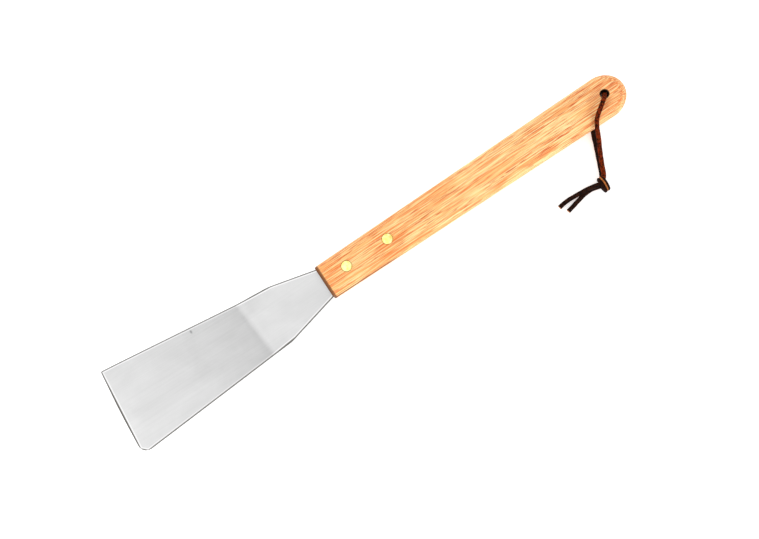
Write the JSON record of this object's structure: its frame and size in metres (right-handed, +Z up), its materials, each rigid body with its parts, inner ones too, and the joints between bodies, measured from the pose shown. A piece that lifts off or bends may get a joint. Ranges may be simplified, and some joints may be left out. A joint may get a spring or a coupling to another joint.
{
  "type": "grill spatula",
  "caption": "Long-handled grill spatula: flared steel blade bent slightly up, slotted hardwood handle with brass rivets, and a knotted leather hanging lace.",
  "frame": {"origin": "on the surface the spatula lies on, under the middle of the tool without its lace", "axes": "+X along the length from the blade's leading edge to the handle's butt, +Y across the blade, +Z up, away from the surface"},
  "size_m": [0.425, 0.0904, 0.0266],
  "materials": {
    "handle_wood": "oiled",
    "blade_steel": "brushed along the length",
    "rivet_brass": "sanded flush",
    "lace_leather": "oiled thong with paler cut edges"
  },
  "bodies": {
    "spatula": {"handle": "handle_wood", "blade": "blade_steel", "rivet_front_pin": "rivet_brass", "rivet_front_tube": "rivet_brass", "rivet_rear_pin": "rivet_brass", "rivet_rear_tube": "rivet_brass"},
    "lace": {"lace_front_strand": "lace_leather", "lace_back_strand": "lace_leather", "lace_knot": "lace_leather", "lace_tail_long": "lace_leather", "lace_tail_short": "lace_leather"}
  },
  "joints": [
    {"name": "lace_swing", "type": "hinge", "parent": "spatula", "child": "lace", "pos_m": [0.19592, 0.00019, 0.0127], "axis": [-0.0178, 0, 0.9998], "range_deg": [0, 250]}
  ]
}
